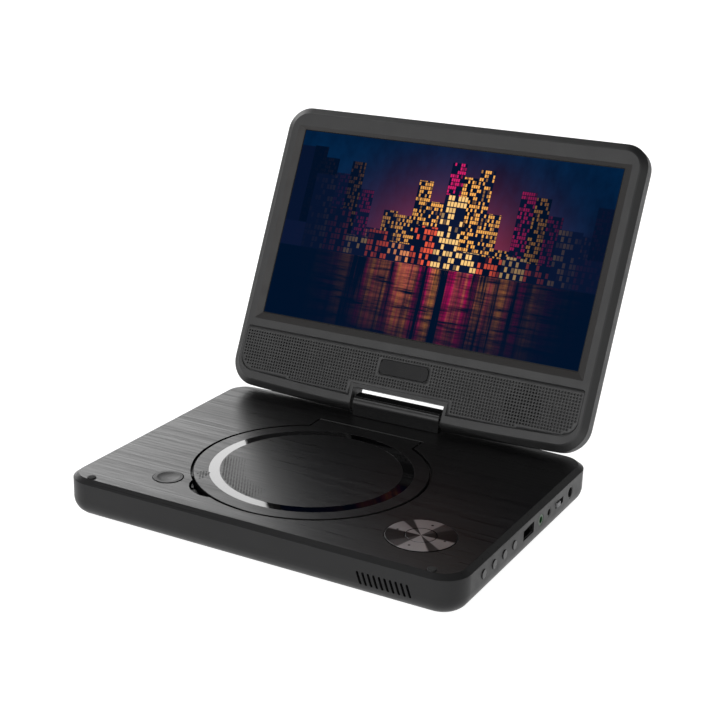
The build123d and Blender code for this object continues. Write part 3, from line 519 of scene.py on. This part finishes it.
RUBBER = moulded("rubber", (0.006, 0.006, 0.006), 0.85, grain=3200, depth=0.03)
CASE = moulded("case_plastic", (0.008, 0.008, 0.0085), 0.42, grain=2400, depth=0.02, specular=0.26)
BEZEL = bezel()
GRILLE = moulded("grille_plastic", (0.0155, 0.0155, 0.016), 0.48, grain=2600, depth=0.01)
WELL = moulded("well_plastic", (0.006, 0.006, 0.0065), 0.5)
BATTERY = moulded("battery_wrap", (0.03, 0.09, 0.26), 0.3, grain=500, depth=0.05)
GLOSS = moulded("hinge_gloss", (0.005, 0.005, 0.0052), 0.22, grain=900, depth=0.002, specular=0.35)
RING = moulded("ring_gloss", (0.0008, 0.0008, 0.001), 0.03, grain=300, depth=0.0003, specular=0.45)
BADGE = moulded("badge_gloss", (0.004, 0.004, 0.0045), 0.3, grain=600, depth=0.002, specular=0.2)
KEYS = moulded("side_keys", (0.005, 0.005, 0.0055), 0.2, grain=900, depth=0.003, specular=0.28)
BUTTON = moulded("button_satin", (0.005, 0.005, 0.0052), 0.42, grain=1800, depth=0.006, specular=0.14)
KNOB = moulded("switch_knob", (0.16, 0.16, 0.165), 0.35, grain=1500, depth=0.01)
GREEN = moulded("jack_green", (0.008, 0.05, 0.012), 0.4)
BLACK = moulded("jack_black", (0.005, 0.005, 0.005), 0.4)
DECK_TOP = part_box("top_deck")[1].z
DECK = brushed_plastic("deck_brushed", DECK_BLACK, 0.37, DECK_TOP - 0.04 * MM)
DOTS = moulded("door_print", (0.0008, 0.0008, 0.0008), 0.55, grain=3000, depth=0.004, specular=0.1)
PLATED = metal("plated_steel", (0.55, 0.55, 0.53), 0.35)
BRIGHT = metal("bright_steel", (0.62, 0.62, 0.63), 0.16)
SCREWS = metal("screw_steel", (0.09, 0.09, 0.095), 0.42)
SHADED = metal("socket_steel", (0.05, 0.05, 0.05), 0.45)
BRASS = metal("brass_posts", (0.62, 0.46, 0.18), 0.3)
CAST = metal("pickup_metal", (0.42, 0.42, 0.43), 0.5, grain=1500, depth=0.02)
BOARD = circuit_board()
PAPER = speaker_paper()
MASK = moulded("display_mask", (0.0008, 0.0008, 0.001), 0.2, grain=400, depth=0.001, specular=0.2)
LENS = lens_glass()
PICTURE = picture()


def pad_centre():
    """Middle of the navigation pad."""
    low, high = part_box("nav_ring")
    return (Vector(low) + Vector(high)) / 2


PAD = fan_metal("pad_metal", 0.36, pad_centre())

FINISHES = {
    "case_plastic": CASE, "deck_brushed": DECK, "bezel_plastic": BEZEL, "well_plastic": WELL,
    "hinge_gloss": GLOSS, "ring_gloss": RING, "badge_gloss": BADGE, "pad_metal": PAD,
    "rubber": RUBBER, "side_keys": KEYS, "switch_knob": KNOB, "jack_green": GREEN,
    "jack_black": BLACK, "battery_wrap": BATTERY, "circuit_board": BOARD,
    "plated_steel": PLATED, "bright_steel": BRIGHT, "screw_steel": SCREWS, "brass_posts": BRASS,
    "pickup_metal": CAST, "lens_glass": LENS, "window_glass": MASK, "lcd_picture": PICTURE,
    "speaker_cone": PAPER,
}
# nodes whose look differs from that of their slot
OWN_FINISHES = {"open_button": BUTTON, "usb_socket": SHADED}


def finish_nodes():
    """Give every node of the model the material of its slot."""
    for part in frame["record"]["subparts"]:
        mesh = NODES[part["node"]].data
        mesh.materials.clear()
        mesh.materials.append(OWN_FINISHES.get(part["node"], FINISHES[part["material_slot"]]))


# ---- speaker grille ---------------------------------------------------------------------
def grille_outline(low, high, notch_half, notch_top):
    """Points round the grille plate: round bottom corners, bowed bottom, hinge notch."""
    corner = 9 * MM
    small = 1.5 * MM
    bow = 3.0 * MM
    side_low = low.y + bow
    points = arc_points((high.x - small, high.y - small), small, 0, 90, 5)
    points += arc_points((low.x + small, high.y - small), small, 90, 180, 5)
    points += arc_points((low.x + corner, side_low + corner), corner, 180, 265, 10)

    def bottom(x):
        return side_low - bow * (1 - (x / high.x) ** 2)

    steps = 14
    start = low.x + corner
    for i in range(1, steps + 1):
        x = start + (-notch_half - start) * i / steps
        points.append((x, bottom(x)))
    points += [(-notch_half, notch_top), (notch_half, notch_top)]
    for i in range(steps):
        x = notch_half - (start + notch_half) * i / steps
        points.append((x, bottom(x)))
    points += arc_points((high.x - corner, side_low + corner), corner, 275, 360, 10)
    return points


def inside(point, loop):
    """Whether a point lies inside a closed loop of points."""
    x, y = point
    found = False
    for (x0, y0), (x1, y1) in zip(loop, loop[1:] + loop[:1]):
        if (y0 > y) != (y1 > y) and x < x0 + (y - y0) * (x1 - x0) / (y1 - y0):
            found = not found
    return found


def grille_cells(outline, badge):
    """Centres of the perforation's cells that fit wholly inside the plate and clear of the badge."""
    reach = HOLE_PITCH / 2 + GRILLE_MARGIN
    columns = int(max(p[0] for p in outline) / HOLE_PITCH)
    top = max(p[1] for p in outline) - GRILLE_MARGIN - HOLE_PITCH / 2
    rows = int((top - min(p[1] for p in outline)) / HOLE_PITCH)
    cells = []
    for row in range(rows + 1):
        y = top - row * HOLE_PITCH
        for column in range(-columns, columns + 1):
            x = column * HOLE_PITCH
            corners = [(x + sx * reach, y + sy * reach) for sx in (-1, 1) for sy in (-1, 1)]
            near_badge = abs(x) < badge.x + HOLE_PITCH * 0.6 and badge.y < y < badge.z
            if not near_badge and all(inside(corner, outline) for corner in corners):
                cells.append((column, row, x, y))
    return cells


def rounded_loop(x0, x1, y0, y1, radius):
    """Corners of a rounded rectangle, in turn."""
    points = []
    for x, y, start in ((x1 - radius, y1 - radius, 0), (x0 + radius, y1 - radius, 90),
                        (x0 + radius, y0 + radius, 180), (x1 - radius, y0 + radius, 270)):
        points += arc_points((x, y), radius, start, start + 90, 5)
    return points


def add_cell(bm, corner, column, row, x, y, z):
    """One square of the sheet with an eight-sided hole."""
    ring = []
    for i in range(8):
        a = math.radians(22.5 + 45 * i)
        ring.append(bm.verts.new((x + HOLE_RADIUS * math.cos(a), y + HOLE_RADIUS * math.sin(a), z)))
    right_top, left_top = corner(column + 1, row), corner(column, row)
    right_low, left_low = corner(column + 1, row + 1), corner(column, row + 1)
    for face in ((right_top, ring[1], ring[0]), (left_top, ring[3], ring[2]),
                 (left_low, ring[5], ring[4]), (right_low, ring[7], ring[6]),
                 (right_top, left_top, ring[2], ring[1]), (left_top, left_low, ring[4], ring[3]),
                 (left_low, right_low, ring[6], ring[5]), (right_low, right_top, ring[0], ring[7])):
        bm.faces.new(face)


def speaker_grille():
    """Perforated plate with real holes, drawn in the screen's frame and made solid."""
    low, high = screen_box("speaker_grille")
    badge_low, badge_high = screen_box("badge_plate")
    gap = 0.1 * MM
    outline = grille_outline(low, high, NOTCH_HALF, NOTCH_TOP)
    keep_off = Vector((badge_high.x + gap, badge_low.y - HOLE_PITCH / 2, badge_high.y + HOLE_PITCH / 2))
    cells = grille_cells(outline, keep_off)
    cell_top = max(y for _, _, _, y in cells)
    first_row = min(row for _, row, _, _ in cells)
    bm = bmesh.new()
    corners = {}

    def corner(column, row):
        """Corner that neighbouring cells share."""
        if (column, row) not in corners:
            place = ((column - 0.5) * HOLE_PITCH, cell_top - (row - 0.5) * HOLE_PITCH, high.z)
            corners[column, row] = bm.verts.new(place)
        return corners[column, row]

    for column, row, x, y in cells:
        add_cell(bm, corner, column, row - first_row, x, y, high.z)
    shared = set(corners.values())
    loops = [e for e in bm.edges if e.is_boundary and all(v in shared for v in e.verts)]
    badge_loop = rounded_loop(badge_low.x - gap, badge_high.x + gap, badge_low.y - gap,
                              badge_high.y + gap, BADGE_CORNER)
    for loop in (outline, badge_loop):
        rim = [bm.verts.new((x, y, high.z)) for x, y in loop]
        loops += [bm.edges.new((a, b)) for a, b in zip(rim, rim[1:] + rim[:1])]
    bmesh.ops.triangle_fill(bm, edges=loops, use_beauty=True)
    sheet = piece_from("grille_sheet", bm, "screen", GRILLE, place=SCREEN, smooth=20)
    solid = sheet.modifiers.new("thickness", "SOLIDIFY")
    solid.thickness = high.z - low.z
    solid.offset = -1
    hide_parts("speaker_grille")
    return sheet


# ---- display ------------------------------------------------------------------------------
def display():
    """Display glass with bevelled edges, a black masked border and the lit picture inside it."""
    low, high = screen_box("display_window")
    panel_low, _ = screen_box("lcd_panel")
    bm = bmesh.new()
    bmesh.ops.create_cube(bm, size=1)
    middle = (Vector((low.x, low.y, panel_low.z)) + high) / 2
    size = high - Vector((low.x, low.y, panel_low.z))
    for vertex in bm.verts:
        vertex.co = Vector([middle[i] + vertex.co[i] * size[i] for i in range(3)])
    bmesh.ops.bevel(bm, geom=list(bm.edges), offset=GLASS_BEVEL, segments=2, affect="EDGES")
    facing = [face for face in bm.faces if face.calc_center_median().z > middle.z]
    front = max(facing, key=lambda face: face.calc_area())
    border = (high.x - low.x - 2 * GLASS_BEVEL - PICTURE_WIDE) / 2
    bmesh.ops.inset_individual(bm, faces=[front], thickness=border, depth=0)
    lit = [Vector((side * PICTURE_WIDE / 2, PICTURE_LOW + end * PICTURE_HIGH))
           for side in (-1, 1) for end in (0, 1)]
    for vertex in front.verts:
        nearest = min(lit, key=lambda p: (p - vertex.co.xy).length)
        vertex.co.x, vertex.co.y = nearest
    front.material_index = 1
    stack = piece_from("display_stack", bm, "screen", MASK, place=SCREEN)
    stack.data.materials.append(PICTURE)
    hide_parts("display_window", "lcd_panel")


# ---- print on the door --------------------------------------------------------------------
def dot_size(x, y, ring_in):
    """Radius of the half-tone dot at a place measured from the door's centre, or 0."""
    radius = math.hypot(x, y)
    angle = math.degrees(math.atan2(y, x))
    if PATCH_X[0] < x < PATCH_X[1] and PATCH_Y[0] < y < PATCH_Y[1] and radius < DOT_REACH:
        return PATCH_DOT
    start, end = DOT_ARC
    if not start < angle < end or not ring_in - DOT_BAND < radius < ring_in - 0.8 * MM:
        return 0
    near_end = min(1, (angle - start) / DOT_FADE, (end - angle) / DOT_FADE)
    inward = (ring_in - radius) / DOT_BAND
    return (0.22 + 0.4 * (1 - inward)) * MM * max(near_end, 0) ** 0.5


def add_puck(bm, x, y, radius, low, high):
    """Low closed disc with DOT_SIDES sides."""
    turns = [2 * math.pi * i / DOT_SIDES for i in range(DOT_SIDES)]
    rings = []
    for z in (low, high):
        rings.append([bm.verts.new((x + radius * math.cos(t), y + radius * math.sin(t), z)) for t in turns])
    bm.faces.new(rings[1])
    bm.faces.new(rings[0][::-1])
    for i in range(DOT_SIDES):
        j = (i + 1) % DOT_SIDES
        bm.faces.new((rings[0][i], rings[0][j], rings[1][j], rings[1][i]))


def door_dots():
    """Matte half-tone dots inside the ring's left edge, and a small patch on the rim."""
    low, high = (Vector(corner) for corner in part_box("door_ring"))
    centre = (low + high) / 2
    ring_in = (high.x - low.x) / 2 - RING_BAND
    bm = bmesh.new()
    reach = int(60 * MM / DOT_PITCH)
    row_pitch = DOT_PITCH * 0.866
    for row in range(-reach, 0):
        for column in range(-reach, 1):
            x = (column + 0.5 * (row % 2)) * DOT_PITCH
            y = row * row_pitch
            radius = dot_size(x, y, ring_in)
            if radius >= DOT_LEAST:
                add_puck(bm, centre.x + x, centre.y + y, radius, DECK_TOP - DOT_SINK, DECK_TOP + DOT_HIGH)
    piece_from("door_dots", bm, "disc_door", DOTS)


finish_nodes()
speaker_grille()
display()
door_dots()


# ---- stage --------------------------------------------------------------------------------
def make_floor():
    """Plain white floor that glows a little, so the object casts almost no shadow on it."""
    look = Look("floor", (0.35, 0.35, 0.35), 0.6, specular=0.1)
    look.vary_roughness(look.noise(3, 2.0), 0.05)
    look.set("Emission Color", (1, 1, 1, 1))
    look.set("Emission Strength", 0.95)
    bm = bmesh.new()
    half = 6.0
    ground = cad_box[0][2]
    corners = [bm.verts.new((x * half, y * half, ground)) for x, y in ((-1, -1), (1, -1), (1, 1), (-1, 1))]
    bm.faces.new(corners)
    mesh = bpy.data.meshes.new("floor")
    bm.to_mesh(mesh)
    bm.free()
    mesh.materials.append(look.material)
    floor = add_object("floor", mesh)


def make_light():
    """White studio: three soft patches of light over a fill that is brighter in front and dim above."""
    world = bpy.data.worlds.new("studio")
    world.use_nodes = True
    tree = world.node_tree

    def node(kind, settings, inputs):
        made = tree.nodes.new(kind)
        for key, value in settings.items():
            setattr(made, key, value)
        for key, value in inputs.items():
            if isinstance(value, bpy.types.NodeSocket):
                tree.links.new(value, made.inputs[key])
            else:
                made.inputs[key].default_value = value
        return made.outputs

    way = node("ShaderNodeTexCoord", {}, {})["Generated"]

    def patch(azimuth, elevation, strength, full, gone):
        """Soft round patch of light in a direction."""
        flat = math.cos(math.radians(elevation))
        toward = Vector((math.sin(math.radians(azimuth)) * flat, math.cos(math.radians(azimuth)) * flat,
                         math.sin(math.radians(elevation))))
        near = node("ShaderNodeVectorMath", {"operation": "DOT_PRODUCT"}, {0: way, 1: toward})["Value"]
        ends = {1: math.cos(math.radians(gone)), 2: math.cos(math.radians(full)), 3: 0.0, 4: strength}
        return node("ShaderNodeMapRange", {"interpolation_type": "SMOOTHSTEP"}, {0: near, **ends})["Result"]

    split = node("ShaderNodeSeparateXYZ", {}, {0: way})
    walls = node("ShaderNodeMapRange", {"interpolation_type": "SMOOTHSTEP"},
                 {0: split["Y"], 1: -0.1, 2: 0.3, 3: FRONT_FILL, 4: BACK_FILL})["Result"]
    dim = node("ShaderNodeMapRange", {"interpolation_type": "SMOOTHSTEP"},
               {0: split["Z"], 1: 0.25, 2: 0.6, 3: 1.0, 4: OVERHEAD_SHARE})["Result"]
    total = node("ShaderNodeMath", {"operation": "MULTIPLY"}, {0: walls, 1: dim})["Value"]
    for place in (WALL, FRONT, PANEL):
        light = patch(*place)
        total = node("ShaderNodeMath", {"operation": "ADD"}, {0: total, 1: light})["Value"]
    tree.links.new(total, tree.nodes["Background"].inputs["Strength"])
    tree.nodes["Background"].inputs["Color"].default_value = (1, 1, 1, 1)
    bpy.context.scene.world = world
    bpy.context.scene.view_settings.view_transform = "Standard"


def make_camera():
    """Camera at the photograph's place, angle and framing."""
    a = math.radians(CAMERA_AZIMUTH)
    e = math.radians(CAMERA_ELEVATION)
    back = Vector((math.sin(a) * math.cos(e), -math.cos(a) * math.cos(e), math.sin(e)))
    right = Vector((math.cos(a), math.sin(a), 0))
    up = back.cross(right)
    r = math.radians(CAMERA_ROLL)
    right, up = right * math.cos(r) + up * math.sin(r), up * math.cos(r) - right * math.sin(r)
    data = bpy.data.cameras.new("camera")
    data.lens = CAMERA_LENS
    data.sensor_width = 36
    data.shift_x, data.shift_y = CAMERA_SHIFT
    data.clip_start = 0.01
    camera = bpy.data.objects.new("camera", data)
    bpy.context.scene.collection.objects.link(camera)
    camera.matrix_world = Matrix.Translation(CAMERA_PLACE) @ Matrix((
        (right.x, up.x, back.x, 0),
        (right.y, up.y, back.y, 0),
        (right.z, up.z, back.z, 0),
        (0, 0, 0, 1),
    ))
    bpy.context.scene.camera = camera


make_floor()
make_light()
make_camera()
